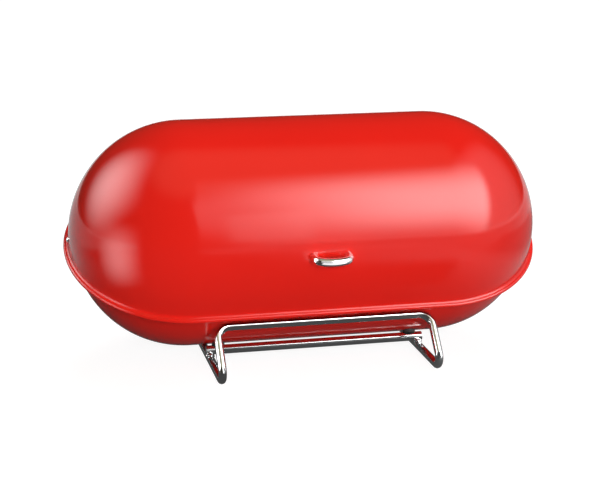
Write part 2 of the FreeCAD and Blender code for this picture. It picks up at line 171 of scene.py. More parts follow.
def new_finish(name):
    """A material with a Principled shader, and the Object coordinates that patterns use."""
    finish = bpy.data.materials.new(name)
    finish.use_nodes = True
    tree = finish.node_tree
    place = node(tree, "ShaderNodeTexCoord", output=3)
    return finish, tree, tree.nodes["Principled BSDF"], place


def feed(tree, shader, **inputs):
    """Set or link a shader's own sockets, with underscores for spaces."""
    for name, value in inputs.items():
        socket = shader.inputs[name.replace("_", " ")]
        if isinstance(value, Value):
            tree.links.new(value.socket, socket)
        else:
            socket.default_value = value


def bump(height, distance):
    """A Bump node: distance is how high a value of 1 stands, in metres."""
    inputs = {"Height": height, "Distance": distance, "Strength": 1.0}
    return node(height.tree, "ShaderNodeBump", None, inputs)


# %% [markdown]
# Stove enamel is a thick gloss coat on steel. It is never quite even: the colour drifts a
# little, and the surface keeps a faint orange peel from the spray gun, about a millimetre wide
# and a thousandth of that high. That is enough to make the reflections look like paint. A
# picture of paint would need unwrapping, while noise in the shader runs on over the whole shell.

# %% Red enamel
PEEL_HEIGHT = 0.000004


def red_enamel():
    finish, tree, shader, place = new_finish("red_enamel")
    drift = noise(place, 14)
    grain = noise(place, 900)
    colour = mix_colour(drift, (0.75, 0.0148, 0.0088, 1), (0.79, 0.0160, 0.0098, 1))
    peel = noise(place, 650, 1.0)
    feed(tree, shader,
         Base_Color=colour,
         Roughness=0.10 + 0.03 * drift + 0.02 * grain,
         Specular_IOR_Level=0.4,
         Normal=bump(peel, PEEL_HEIGHT))
    return finish


RED_ENAMEL = red_enamel()
print("finish", RED_ENAMEL.name)

# %% [markdown]
# Bright chrome is nearly a mirror. Polishing leaves hazy patches of about a centimetre and very
# fine lines, so its roughness wanders instead of being one number. The hidden finishes follow the
# same plan: zinc has spangles, rubber has a bloom and pores, and plastic is slightly uneven.

# %% Chrome, steel, rubber and plastic
PORE_HEIGHT = 0.00003


def chrome():
    finish, tree, shader, place = new_finish("chrome")
    haze = noise(place, 90)
    lines = noise(place, 1600)
    colour = mix_colour(haze, (0.78, 0.79, 0.80, 1), (0.86, 0.86, 0.87, 1))
    feed(tree, shader,
         Base_Color=colour,
         Metallic=1.0,
         Roughness=0.08 + 0.05 * haze + 0.02 * lines)
    return finish


def zinc_steel():
    finish, tree, shader, place = new_finish("zinc_steel")
    cells = {"Vector": place, "Scale": 900.0}
    spangle = node(tree, "ShaderNodeTexVoronoi", None, cells, output=1)
    grey = node(tree, "ShaderNodeRGBToBW", None, {"Color": spangle})
    colour = mix_colour(grey, (0.50, 0.51, 0.53, 1), (0.66, 0.66, 0.66, 1))
    feed(tree, shader, Base_Color=colour, Metallic=1.0, Roughness=0.28 + 0.16 * grey)
    return finish


def black_rubber():
    finish, tree, shader, place = new_finish("black_rubber")
    bloom = noise(place, 220)
    pores = noise(place, 2600)
    colour = mix_colour(bloom, (0.018, 0.018, 0.019, 1), (0.045, 0.044, 0.043, 1))
    feed(tree, shader,
         Base_Color=colour,
         Roughness=0.62 + 0.22 * bloom,
         Normal=bump(pores, PORE_HEIGHT))
    return finish


def white_plastic():
    finish, tree, shader, place = new_finish("white_plastic")
    tint = noise(place, 300)
    colour = mix_colour(tint, (0.78, 0.77, 0.74, 1), (0.84, 0.83, 0.80, 1))
    feed(tree, shader, Base_Color=colour, Roughness=0.38 + 0.12 * tint)
    return finish


CHROME = chrome()
ZINC_STEEL = zinc_steel()
BLACK_RUBBER = black_rubber()
WHITE_PLASTIC = white_plastic()
for finish in (CHROME, ZINC_STEEL, BLACK_RUBBER, WHITE_PLASTIC):
    print("finish", finish.name)

# %% [markdown]
# Pieces are modelled as by hand: everything is deselected, one primitive is added, and edit
# mode shapes it. An outline starts from a single vertex, which is extruded for a straight edge
# and spun for an arc. The pen below remembers where the vertex is. The Spin tool turns
# clockwise seen against its axis, so the axis is turned round to keep the usual right hand.

# %% Modelling helpers
DOUBLES = 0.000002
SMOOTH_ANGLE = math.radians(40)
PEN_START = 0.01


def spin(centre, axis, angle, steps):
    """Spin what is selected by a right-handed angle."""
    bpy.ops.mesh.spin(steps=steps, angle=angle, center=centre, axis=-Vector(axis))


def extrude(step):
    """Extrude what is selected by a vector."""
    bpy.ops.mesh.extrude_region_move(TRANSFORM_OT_translate={"value": step})


class Pen:
    """Draws an open outline in a plane of constant x, in edit mode."""

    def __init__(self, name, x, y, z):
        bpy.ops.object.select_all(action="DESELECT")
        bpy.ops.mesh.primitive_plane_add(size=PEN_START)
        self.piece = bpy.context.object
        self.piece.name = name
        self.piece.data.name = name
        bpy.ops.object.mode_set(mode="EDIT")
        bpy.ops.mesh.select_all(action="SELECT")
        bpy.ops.mesh.merge(type="CENTER")
        bpy.ops.transform.translate(value=(x, y, z))
        self.place = Vector((x, y, z))

    def line(self, y, z):
        """A straight edge to a point of the plane."""
        target = Vector((self.place.x, y, z))
        extrude(target - self.place)
        self.place = target

    def arc(self, y, z, angle, steps):
        """An arc about a centre in the plane."""
        centre = Vector((self.place.x, y, z))
        spin(centre, (1, 0, 0), angle, steps)
        self.place = centre + Matrix.Rotation(angle, 3, "X") @ (self.place - centre)


def close_up(angle=SMOOTH_ANGLE):
    """Merge what a sweep left double, point the faces outwards and leave edit mode."""
    bpy.ops.mesh.select_all(action="SELECT")
    bpy.ops.mesh.remove_doubles(threshold=DOUBLES)
    bpy.ops.mesh.normals_make_consistent(inside=False)
    bpy.ops.object.mode_set(mode="OBJECT")
    bpy.ops.object.shade_smooth_by_angle(angle=angle)


def put(piece, place, turn=None):
    """Turn and move a piece, and keep the result in its mesh."""
    bpy.ops.object.select_all(action="DESELECT")
    piece.select_set(True)
    bpy.context.view_layer.objects.active = piece
    piece.matrix_world = Matrix.Translation(place) @ (turn or Matrix.Identity(3)).to_4x4()
    bpy.ops.object.transform_apply(location=True, rotation=True, scale=True)
    return piece


def finish_piece(piece, finish, body, slot, *nodes):
    """Give a piece its finish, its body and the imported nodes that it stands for."""
    piece.data.materials.clear()
    piece.data.materials.append(finish)
    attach(piece, body)
    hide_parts(*nodes)
    print(f"{piece.name}: {len(piece.data.polygons)} faces on {body}")


# %% [markdown]
# Lid and bowl are half capsules. On the real thing each is one deep-drawn pressing with a
# rolled edge. Here the section of the wall is drawn once, outside and inside, then run along
# the front, round the left end, along the back and round the right end. Half a capsule with a
# Solidify modifier would be quicker, but it would have a plain cut edge and no rolled one.

# %% Shells
END_STEPS = 96
DOME_STEPS = 48


def run_round():
    """Sweep the outline round the capsule's plan, which closes on itself."""
    bpy.ops.mesh.select_all(action="SELECT")
    for side in (-1, 1):
        extrude((side * 2 * HALF_SPAN, 0, 0))
        spin((side * HALF_SPAN, 0, 0), (0, 0, 1), -math.pi, END_STEPS)
    close_up()


# %% [markdown]
# The lid's wall runs straight below the axis for a few millimetres, then flares out in a small
# hollow curve and ends in a bead that is rolled back under until it meets the wall again. The
# hollow catches one thin line of light and the bead another.

# %% Lid
SKIRT = 0.007
FLARE = 0.0025
FLARE_TURN = math.radians(85)
FLARE_STEPS = 12
BEAD = 0.0019
BEAD_STEPS = 40
TUCK_STEPS = 10


def draw_lid():
    """The lid's section, swept and tilted about the axis."""
    inner = LID_RADIUS - SHEET
    flare_y = -(LID_RADIUS + FLARE)
    reach = FLARE + BEAD
    bead_y = flare_y + reach * math.cos(FLARE_TURN)
    bead_z = -SKIRT - reach * math.sin(FLARE_TURN)
    back = FLARE + SHEET
    foot = (reach ** 2 + back ** 2 - BEAD ** 2) / (2 * reach)
    tuck = math.acos(foot / back)
    roll = math.acos((reach - foot) / BEAD)
    pen = Pen("lid_shell", HALF_SPAN, 0, LID_RADIUS)
    pen.arc(0, 0, math.pi / 2, DOME_STEPS)
    pen.line(-LID_RADIUS, -SKIRT)
    pen.arc(flare_y, -SKIRT, -FLARE_TURN, FLARE_STEPS)
    pen.arc(bead_y, bead_z, 2 * math.pi - roll, BEAD_STEPS)
    pen.arc(flare_y, -SKIRT, FLARE_TURN - tuck, TUCK_STEPS)
    pen.line(-inner, 0)
    pen.arc(0, 0, -math.pi / 2, DOME_STEPS)
    run_round()
    return put(pen.piece, AXIS, Matrix.Rotation(TILT, 3, "X"))


lid_shell = draw_lid()
finish_piece(lid_shell, RED_ENAMEL, LID, "red_enamel", "lid")

# %% [markdown]
# The bowl stands inside the lid with a straight collar, and its edge is rolled inwards so that
# no hand meets raw sheet. It can only be seen below the lid's bead, and when the lid is open.

# %% Bowl
COLLAR = 0.008
RIM = 0.0016
RIM_STEPS = 24


def draw_bowl():
    """The bowl's section, swept and tilted like the lid's."""
    inner = BOWL_RADIUS - SHEET
    rim_turn = 2 * math.pi - math.acos((RIM - SHEET) / RIM)
    pen = Pen("bowl_shell", HALF_SPAN, 0, -BOWL_RADIUS)
    pen.arc(0, 0, -math.pi / 2, DOME_STEPS)
    pen.line(-BOWL_RADIUS, COLLAR)
    pen.arc(RIM - BOWL_RADIUS, COLLAR, -rim_turn, RIM_STEPS)
    pen.line(-inner, 0)
    pen.arc(0, 0, math.pi / 2, DOME_STEPS)
    run_round()
    return put(pen.piece, AXIS, Matrix.Rotation(TILT, 3, "X"))


bowl_shell = draw_bowl()
finish_piece(bowl_shell, RED_ENAMEL, BASE, "red_enamel", "bowl")

# %% [markdown]
# Wire is bent as on a jig: a ring is extruded for a straight run and spun for a bend. The tube
# below works out each bend's centre from the run before it, the run after it and its radius. A
# bevelled curve would be the other way, but here every bend is a true arc, as in bent wire.

# %% Bent wire
BEND_STEPS = 14
WIRE_SIDES = 32
SEAM = 0.00001


class Tube:
    """A round rod that grows from a ring, in edit mode."""

    def __init__(self, name, radius, place, heading, sides=WIRE_SIDES):
        bpy.ops.object.select_all(action="DESELECT")
        turn = Vector((0, 0, 1)).rotation_difference(heading).to_euler()
        bpy.ops.mesh.primitive_circle_add(
            vertices=sides, radius=radius, location=place, rotation=turn
        )
        self.piece = bpy.context.object
        self.piece.name = name
        self.piece.data.name = name
        bpy.ops.object.transform_apply(location=True, rotation=True, scale=True)
        bpy.ops.object.mode_set(mode="EDIT")
        bpy.ops.mesh.select_all(action="SELECT")
        self.place = Vector(place)

    def run_to(self, target):
        """A straight run to a point."""
        extrude(target - self.place)
        self.place = target

    def bend(self, centre, axis, angle, steps):
        """A bend about a centre."""
        spin(centre, axis, angle, steps)
        self.place = centre + Matrix.Rotation(angle, 3, axis) @ (self.place - centre)

    def follow(self, corners, bends):
        """Run along straight lines between corners, with a bend of its own radius at each."""
        for corner, after, radius in zip(corners, corners[1:], bends):
            ahead = (corner - self.place).normalized()
            leaving = (after - corner).normalized()
            turn = ahead.angle(leaving)
            axis = ahead.cross(leaving).normalized()
            start = corner - ahead * radius * math.tan(turn / 2)
            self.run_to(start)
            self.bend(start + axis.cross(ahead) * radius, axis, turn, BEND_STEPS)
        self.run_to(corners[-1])


def mirror_and_merge(piece):
    """Make the left half from the right half."""
    mirror = piece.modifiers.new("left_half", "MIRROR")
    mirror.use_clip = True
    mirror.merge_threshold = SEAM
    bpy.ops.object.modifier_apply(modifier=mirror.name)


# %% [markdown]
# The stand is one wire: a front bar close under the lid's edge, two legs that lean forwards,
# small feet, two runners on the table and a bar across the back. Both sides are alike, so the
# right half is bent and then mirrored, which also keeps them exactly alike.

# %% Stand
BAR_ANGLE = math.radians(37.9)
BAR_GAP = 0.0004
BAR_BEND = 0.011
FOOT_BEND = 0.007
REAR_BEND = 0.020
LEG_LEAN = math.radians(43.7)


def draw_stand():
    """The right half of the wire from the front bar to the rear bar, then its mirror image."""
    reach = BOWL_RADIUS + BAR_GAP + WIRE_RADIUS
    bar_y = -reach * math.cos(BAR_ANGLE)
    bar_z = AXIS.z - reach * math.sin(BAR_ANGLE)
    foot_y = bar_y - (bar_z - WIRE_RADIUS) * math.tan(LEG_LEAN)
    rear_y = stand_box[1].y - WIRE_RADIUS
    tube = Tube("stand_wire", WIRE_RADIUS, (0, bar_y, bar_z), Vector((1, 0, 0)))
    tube.follow(
        [
            Vector((STAND_HALF, bar_y, bar_z)),
            Vector((STAND_HALF, foot_y, WIRE_RADIUS)),
            Vector((STAND_HALF, rear_y, WIRE_RADIUS)),
            Vector((0, rear_y, WIRE_RADIUS)),
        ],
        [BAR_BEND, FOOT_BEND, REAR_BEND],
    )
    bpy.ops.object.mode_set(mode="OBJECT")
    mirror_and_merge(tube.piece)
    bpy.ops.object.mode_set(mode="EDIT")
    close_up()
    return tube.piece


stand_wire = draw_stand()
finish_piece(stand_wire, CHROME, BASE, "chrome", "stand_frame")

# %% [markdown]
# The lid's handle is a shorter piece of rod, bent into a bow with a slightly curved front. It
# hangs a few degrees below square, and its feet stand on the lid's wall. Its front is one bend
# across the middle, so it isn't mirrored but bent from foot to foot in one go.

# %% Handle
HANDLE_RADIUS = 0.0035
HANDLE_HALF = 0.0146
HANDLE_REACH = 0.0136
HANDLE_BEND = 0.008
HANDLE_BOW = math.radians(20)
HANDLE_ANGLE = math.radians(-0.5)
HANDLE_DROOP = math.radians(8)
HANDLE_ROOT = 0.0006
HANDLE_SIDES = 40
CORNER_STEPS = 16
FRONT_STEPS = 12
HANDLE_TURN = HANDLE_DROOP - HANDLE_ANGLE
LID_FRONT = Vector((0, -LID_RADIUS, 0))
HANDLE_FEET = AXIS + Matrix.Rotation(HANDLE_ANGLE, 3, "X").transposed() @ LID_FRONT


def close_ends():
    """Fill the two open ends of a tube."""
    bpy.ops.mesh.select_all(action="DESELECT")
    bpy.ops.mesh.select_non_manifold()
    bpy.ops.mesh.fill()


def draw_handle():
    """The bow from its left foot to its right one, drawn flat and then hung on the lid."""
    corner_x = HANDLE_HALF - HANDLE_BEND
    corner_y = HANDLE_BEND + corner_x * math.tan(HANDLE_BOW / 2) - HANDLE_REACH
    front_y = corner_y + corner_x / math.tan(HANDLE_BOW)
    up = Vector((0, 0, 1))
    corner_turn = math.pi / 2 - HANDLE_BOW
    left_foot = (-HANDLE_HALF, HANDLE_ROOT, 0)
    tube = Tube("lid_handle_bow", HANDLE_RADIUS, left_foot, Vector((0, -1, 0)), HANDLE_SIDES)
    tube.run_to(Vector((-HANDLE_HALF, corner_y, 0)))
    tube.bend(Vector((-corner_x, corner_y, 0)), up, corner_turn, CORNER_STEPS)
    tube.bend(Vector((0, front_y, 0)), up, 2 * HANDLE_BOW, FRONT_STEPS)
    tube.bend(Vector((corner_x, corner_y, 0)), up, corner_turn, CORNER_STEPS)
    tube.run_to(Vector((HANDLE_HALF, HANDLE_ROOT, 0)))
    close_ends()
    close_up()
    return put(tube.piece, HANDLE_FEET, Matrix.Rotation(HANDLE_TURN, 3, "X"))


lid_handle_bow = draw_handle()
finish_piece(lid_handle_bow, CHROME, LID, "chrome", "lid_handle")

# %% [markdown]
# Two straight rods lie across the runners and carry the bowl. A cylinder is a good start for a
# sawn rod, but its ends need their sharp edge taken off, so the two end faces are picked by
# their normal and the edges round them are bevelled.

# %% Cross rods
ROD_SIDES = 48
ROD_EDGE = 0.0006
ROD_EDGE_STEPS = 3
ROD_SMOOTH_ANGLE = math.radians(50)
SQUARE_ON = 0.99


def bevel_ends(piece, axis, size):
    """Bevel the edges of the two flat ends, which are the faces square to an axis."""
    bpy.ops.object.mode_set(mode="EDIT")
    bpy.ops.mesh.select_all(action="DESELECT")
    bpy.ops.object.mode_set(mode="OBJECT")
    for face in piece.data.polygons:
        face.select = abs(face.normal[axis]) > SQUARE_ON
    bpy.ops.object.mode_set(mode="EDIT")
    bpy.ops.mesh.region_to_loop()
    bpy.ops.mesh.bevel(offset=size, segments=ROD_EDGE_STEPS, affect="EDGES")
    close_up(ROD_SMOOTH_ANGLE)


def draw_rod(name, node_name):
    """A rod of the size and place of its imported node; returns its middle."""
    low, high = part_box(node_name)
    bpy.ops.object.select_all(action="DESELECT")
    bpy.ops.mesh.primitive_cylinder_add(
        vertices=ROD_SIDES,
        radius=ROD_RADIUS,
        depth=high.x - low.x,
        location=(low + high) / 2,
        rotation=(0, math.pi / 2, 0),
    )
    rod = bpy.context.object
    rod.name = name
    rod.data.name = name
    bpy.ops.object.transform_apply(location=True, rotation=True, scale=True)
    bevel_ends(rod, 0, ROD_EDGE)
    finish_piece(rod, CHROME, BASE, "chrome", node_name)
    return (low + high) / 2


front_rod = draw_rod("front_rod", "front_cross_rod")
rear_rod = draw_rod("rear_rod", "rear_cross_rod")

# %% [markdown]
# Where a rod lies on a runner, a drop of weld metal joins them, and the chrome goes over it all.
# A drop is never smooth, so a sphere's points are pushed about at random, always in the same
# way, and then smoothed until only soft lumps are left. Four drops share one mesh object.

# %% Welds
WELD_RADIUS = 0.00378
WELD_DETAIL = 4
WELD_LUMPS = 0.0022
WELD_SPREAD = (1.1, 1.15, 0.95)
WELD_SMOOTH_ANGLE = math.radians(80)
LUMPS_ALIKE = 0.2
LUMPS_OUTWARDS = 0.8
SMOOTHING = 0.6
SMOOTHING_PASSES = 4
FIRST_SEED = 3


def join_pieces(name, pieces):
    """Make one piece of several."""
    bpy.ops.object.select_all(action="DESELECT")
    for piece in pieces:
        piece.select_set(True)
    bpy.context.view_layer.objects.active = pieces[0]
    bpy.ops.object.join()
    joined = bpy.context.object
    joined.name = name
    joined.data.name = name
    return joined


def draw_weld(place, seed):
    """One drop, lumpy in its own way for each seed."""
    bpy.ops.object.select_all(action="DESELECT")
    bpy.ops.mesh.primitive_ico_sphere_add(
        subdivisions=WELD_DETAIL, radius=WELD_RADIUS, location=place
    )
    drop = bpy.context.object
    bpy.ops.object.transform_apply(location=True, rotation=True, scale=True)
    bpy.ops.object.mode_set(mode="EDIT")
    bpy.ops.mesh.select_all(action="SELECT")
    bpy.ops.transform.vertex_random(
        offset=WELD_LUMPS, uniform=LUMPS_ALIKE, normal=LUMPS_OUTWARDS, seed=seed
    )
    bpy.ops.mesh.vertices_smooth(factor=SMOOTHING, repeat=SMOOTHING_PASSES)
    bpy.ops.transform.resize(value=WELD_SPREAD, center_override=place)
    close_up(WELD_SMOOTH_ANGLE)
    return drop


def draw_welds():
    """A drop at each of the four crossings."""
    drops = []
    for rod in (front_rod, rear_rod):
        for side in (-1, 1):
            place = Vector((side * STAND_HALF, rod.y, 2 * WIRE_RADIUS))
            drops.append(draw_weld(place, len(drops) + FIRST_SEED))
    return join_pieces("rod_weld_drops", drops)


finish_piece(draw_welds(), CHROME, BASE, "chrome", "rod_welds")

# %% [markdown]
# Rivets, washers, spacers, screws and buffers are turned parts. Half of the section is drawn
# beside the Z axis with the pen, and one full spin makes the solid. Each is then laid along
# its own line: the rivets along the bin's axis, the screws towards it.

# %% Turned parts
LATHE_STEPS = 48


def lathe(pen):
    """Spin a half section round the Z axis."""
    bpy.ops.mesh.select_all(action="SELECT")
    spin((0, 0, 0), (0, 0, 1), 2 * math.pi, LATHE_STEPS)
    close_up()
    return pen.piece


def draw_ring(name, hole, radius, low, high, edge):
    """A flat ring between two heights, with its edges broken."""
    pen = Pen(name, 0, hole, low + edge)
    for y, z in (
        (hole + edge, low),
        (radius - edge, low),
        (radius, low + edge),
        (radius, high - edge),
        (radius - edge, high),
        (hole + edge, high),
        (hole, high - edge),
        (hole, low + edge),
    ):
        pen.line(y, z)
    return lathe(pen)


def outwards(side):
    """Lay a turned part along the bin's axis, from the centre of a round end."""
    place = AXIS + Vector((side * HALF_SPAN, 0, 0))
    return place, Matrix.Rotation(side * math.pi / 2, 3, "Y")


# %% [markdown]
# The pivot at each end: a rivet with two domed heads, a plastic spacer that keeps the lid off
# the bowl, and a steel washer inside the bowl. Only the outer head shows from outside.

# %% Pivots
PIN_RADIUS = 0.002
PIN_HOLE = 0.00205
PIN_HEAD = 0.0024
PIN_DOME = 0.0015
PIN_STEPS = 10
PIN_INNER = 0.094244
PIN_OUTER = LID_RADIUS + 0.0003
RING_RADIUS = 0.0045
SPACER = 0.0015
SPACER_EDGE = 0.0002
WASHER = 0.001
WASHER_EDGE = 0.00015
CLEARANCE = 0.00005
SPACER_LOW = BOWL_RADIUS + CLEARANCE


def draw_rivet(name):
    """A pin along Z with a domed head at each end."""
    curve = (PIN_HEAD ** 2 + PIN_DOME ** 2) / (2 * PIN_DOME)
    turn = math.asin(PIN_HEAD / curve)
    pen = Pen(name, 0, 0, PIN_INNER - PIN_DOME)
    pen.arc(0, PIN_INNER - PIN_DOME + curve, turn, PIN_STEPS)
    pen.line(PIN_RADIUS, PIN_INNER)
    pen.line(PIN_RADIUS, PIN_OUTER)
    pen.line(PIN_HEAD, PIN_OUTER)
    pen.arc(0, PIN_OUTER + PIN_DOME - curve, turn, PIN_STEPS)
    return lathe(pen)


def draw_pivot_ring(name, low, thick, edge):
    """A ring that fits the pin, from a distance along it."""
    return draw_ring(name, PIN_HOLE, RING_RADIUS, low, low + thick, edge)


for side, end in ((-1, "left"), (1, "right")):
    rivet = put(draw_rivet(f"{end}_rivet"), *outwards(side))
    finish_piece(rivet, CHROME, BASE, "chrome", f"{end}_pivot_rivet")
    spacer = draw_pivot_ring(f"{end}_spacer", SPACER_LOW, SPACER, SPACER_EDGE)
    put(spacer, *outwards(side))
    finish_piece(spacer, WHITE_PLASTIC, BASE, "white_plastic", f"{end}_pivot_spacer")
    washer = draw_pivot_ring(f"{end}_washer", PIN_INNER, WASHER, WASHER_EDGE)
    put(washer, *outwards(side))
    finish_piece(washer, ZINC_STEEL, BASE, "steel", f"{end}_pivot_washer")

# %% [markdown]
# The screws have a low domed head with a hexagon socket. The socket is six-sided, so it can't
# be turned: a six-sided prism is taken out of the head with a Boolean modifier.

# %% Screws
SCREW_RADIUS = 0.002
SCREW_HOLE = 0.00205
SCREW_HEAD = 0.0036
SCREW_DOME = 0.0024
DOME_ARC_STEPS = 14
SCREW_TIP = 0.0004
HEX_RADIUS = 0.00145
HEX_DEPTH = 0.0013
SLIVER = 0.00001


def cut_with(piece, tool, operation="DIFFERENCE"):
    """Apply a Boolean modifier, throw the tool away and merge the slivers of the cut."""
    bpy.ops.object.select_all(action="DESELECT")
    piece.select_set(True)
    bpy.context.view_layer.objects.active = piece
    cutter = piece.modifiers.new("cut", "BOOLEAN")
    cutter.operation = operation
    cutter.solver = "EXACT"
    cutter.object = tool
    bpy.ops.object.modifier_apply(modifier=cutter.name)
    bpy.data.objects.remove(tool)
    bpy.ops.object.mode_set(mode="EDIT")
    bpy.ops.mesh.select_all(action="SELECT")
    bpy.ops.mesh.remove_doubles(threshold=SLIVER)
    bpy.ops.mesh.dissolve_degenerate(threshold=SLIVER)
    bpy.ops.object.mode_set(mode="OBJECT")


def bar_tool(radius, length, place, sides=128, turn=(0, math.pi / 2, 0)):
    """A round bar to cut with, along X unless it is turned."""
    bpy.ops.object.select_all(action="DESELECT")
    bpy.ops.mesh.primitive_cylinder_add(
        vertices=sides, radius=radius, depth=length, location=place, rotation=turn
    )
    return bpy.context.object


def draw_screw(name, length):
    """A screw along Z, with the underside of its head at the origin."""
    curve = (SCREW_HEAD ** 2 + SCREW_DOME ** 2) / (2 * SCREW_DOME)
    pen = Pen(name, 0, 0, -length)
    pen.line(SCREW_RADIUS - SCREW_TIP, -length)
    pen.line(SCREW_RADIUS, SCREW_TIP - length)
    pen.line(SCREW_RADIUS, 0)
    pen.line(SCREW_HEAD, 0)
    pen.arc(0, SCREW_DOME - curve, math.asin(SCREW_HEAD / curve), DOME_ARC_STEPS)
    screw = lathe(pen)
    socket = bar_tool(HEX_RADIUS, 2 * HEX_DEPTH, (0, 0, SCREW_DOME), sides=6, turn=(0, 0, 0))
    cut_with(screw, socket)
    return screw


def copies(piece, name, places):
    """Copy a piece to each place, drop the first one, and join the copies."""
    made = []
    for place, turn in places:
        bpy.ops.object.select_all(action="DESELECT")
        piece.select_set(True)
        bpy.context.view_layer.objects.active = piece
        bpy.ops.object.duplicate()
        made.append(put(bpy.context.object, place, turn))
    bpy.data.objects.remove(piece)
    return join_pieces(name, made)


# %% [markdown]
# Four screws hold the bowl to the rods. Each points at the axis, with a washer under its head
# inside the bowl and a rubber saddle between the bowl and the rod. A saddle is a ring that two
# bars are taken out of, one as round as the bowl and one as round as the rod, so it fits both.
# One of each is modelled upright and then copied to the four places.

# %% Bowl fixings
FIXING_X = 0.085
BOWL_SEAT = 0.094249
BOWL_SCREW = 0.00945
WASHER_RADIUS = 0.0044
PAD_RADIUS = 0.0055
PAD_EDGE = 0.0003
PAD_END = 0.0988
PAD_OVERLAP = 0.001
CUT_LENGTH = 0.02
SHELL_SIDES = 512
ROD_REACH = math.hypot(rear_rod.y, AXIS.z - rear_rod.z)


def bowl_places():
    """Where the four screws go through the bowl, with Z along each screw."""
    places = []
    for rod in (front_rod, rear_rod):
        turn = math.atan2(rod.y, AXIS.z - rod.z)
        for side in (-1, 1):
            step = Vector((0, BOWL_SEAT * math.sin(turn), -BOWL_SEAT * math.cos(turn)))
            place = AXIS + step + Vector((side * FIXING_X, 0, 0))
            places.append((place, Matrix.Rotation(turn, 3, "X")))
    return places


def draw_pad():
    """A rubber ring, hollowed for the bowl above it and the rod below it."""
    low = BOWL_SEAT - PAD_END
    high = BOWL_SEAT - BOWL_RADIUS + PAD_OVERLAP
    rod_z = BOWL_SEAT - ROD_REACH
    pad = draw_ring("pad", SCREW_HOLE, PAD_RADIUS, low, high, PAD_EDGE)
    cut_with(pad, bar_tool(BOWL_RADIUS + CLEARANCE, CUT_LENGTH, (0, 0, BOWL_SEAT), SHELL_SIDES))
    cut_with(pad, bar_tool(ROD_RADIUS + CLEARANCE, CUT_LENGTH, (0, 0, rod_z)))
    return pad


bowl_screws = copies(draw_screw("screw", BOWL_SCREW), "bowl_fixing_screws", bowl_places())
finish_piece(bowl_screws, ZINC_STEEL, BASE, "steel", "bowl_screws")
washer = draw_ring("washer", SCREW_HOLE, WASHER_RADIUS, -WASHER, 0, WASHER_EDGE)
bowl_washers = copies(washer, "bowl_fixing_washers", bowl_places())
finish_piece(bowl_washers, ZINC_STEEL, BASE, "steel", "bowl_washers")
bowl_pads = copies(draw_pad(), "bowl_saddles", bowl_places())
finish_piece(bowl_pads, BLACK_RUBBER, BASE, "black_rubber", "bowl_pads")

# %% [markdown]
# The handle is held from inside the lid by two more screws on soft washers. Two rubber buffers
# sit near the lid's front edge, so that the lid lands softly on the bowl's rim. A buffer starts
# with a flat back, and keeping only what is inside the lid's wall shapes the back to it.

# %% Lid fixings
HANDLE_SEAT = 0.002408
HANDLE_SCREW = 0.007408
SOFT_WASHER = 0.0016
SOFT_EDGE = 0.0003
BUFFER_RADIUS = 0.004
BUFFER_REACH = 0.0055
BUFFER_EDGE = 0.0008
BUFFER_EDGE_STEPS = 6
BUFFER_GAP = 0.0004
LID_TOOL_LENGTH = 0.4


def handle_places():
    """Where the two screws go into the handle's feet."""
    inwards = Vector((0, math.cos(HANDLE_TURN), math.sin(HANDLE_TURN))) * HANDLE_SEAT
    turn = Matrix.Rotation(HANDLE_TURN - math.pi / 2, 3, "X")
    return [(HANDLE_FEET + inwards + Vector((side * HANDLE_HALF, 0, 0)), turn) for side in (-1, 1)]


def buffer_places():
    """Two places on the lid's inside wall, just above the bowl's rim."""
    rise = COLLAR + RIM + BUFFER_GAP + BUFFER_RADIUS
    lean = Matrix.Rotation(TILT, 3, "X")
    turn = Matrix.Rotation(TILT - math.pi / 2, 3, "X")
    wall = SHEET - LID_RADIUS
    return [(AXIS + lean @ Vector((side * FIXING_X, wall, rise)), turn) for side in (-1, 1)]


def draw_buffer():
    """A rubber button with a rounded end."""
    shoulder = BUFFER_REACH - BUFFER_EDGE
    pen = Pen("buffer", 0, 0, 0)
    pen.line(BUFFER_RADIUS, 0)
    pen.line(BUFFER_RADIUS, shoulder)
    pen.arc(BUFFER_RADIUS - BUFFER_EDGE, shoulder, math.pi / 2, BUFFER_EDGE_STEPS)
    pen.line(0, BUFFER_REACH)
    return lathe(pen)


handle_screws = copies(draw_screw("screw", HANDLE_SCREW), "handle_fixing_screws", handle_places())
finish_piece(handle_screws, ZINC_STEEL, LID, "steel", "handle_screws")
soft_washer = draw_ring("washer", SCREW_HOLE, WASHER_RADIUS, -SOFT_WASHER, 0, SOFT_EDGE)
handle_washers = copies(soft_washer, "handle_soft_washers", handle_places())
finish_piece(handle_washers, BLACK_RUBBER, LID, "black_rubber", "handle_washers")
lid_buffers = copies(draw_buffer(), "lid_stop_buffers", buffer_places())
lid_room = bar_tool(LID_RADIUS - SHEET, LID_TOOL_LENGTH, AXIS, SHELL_SIDES)
cut_with(lid_buffers, lid_room, "INTERSECT")
finish_piece(lid_buffers, BLACK_RUBBER, LID, "black_rubber", "lid_buffers")

# %% [markdown]
# The floor is a plain white table. To the camera and in the gloss it glows nearly white by
# itself, and far away quite white, so that it melts into the background. Near the bin the rest
# comes from the lamps, and so it shows the bin's soft shadow.

# %% Floor
FLOOR_SIZE = 60
FLOOR_GREY = (0.22, 0.22, 0.22, 1)
NEAR_GLOW = 0.91
NEAR = 0.5
FAR = 3.0


def is_seen(tree):
    """1 for the camera, and for what it sees in gloss or through glass."""
    seen = node(tree, "ShaderNodeLightPath", output="Is Camera Ray")
    for kind in ("Is Glossy Ray", "Is Transmission Ray"):
        seen = seen.maths("MAXIMUM", seen, node(tree, "ShaderNodeLightPath", output=kind))
    return seen


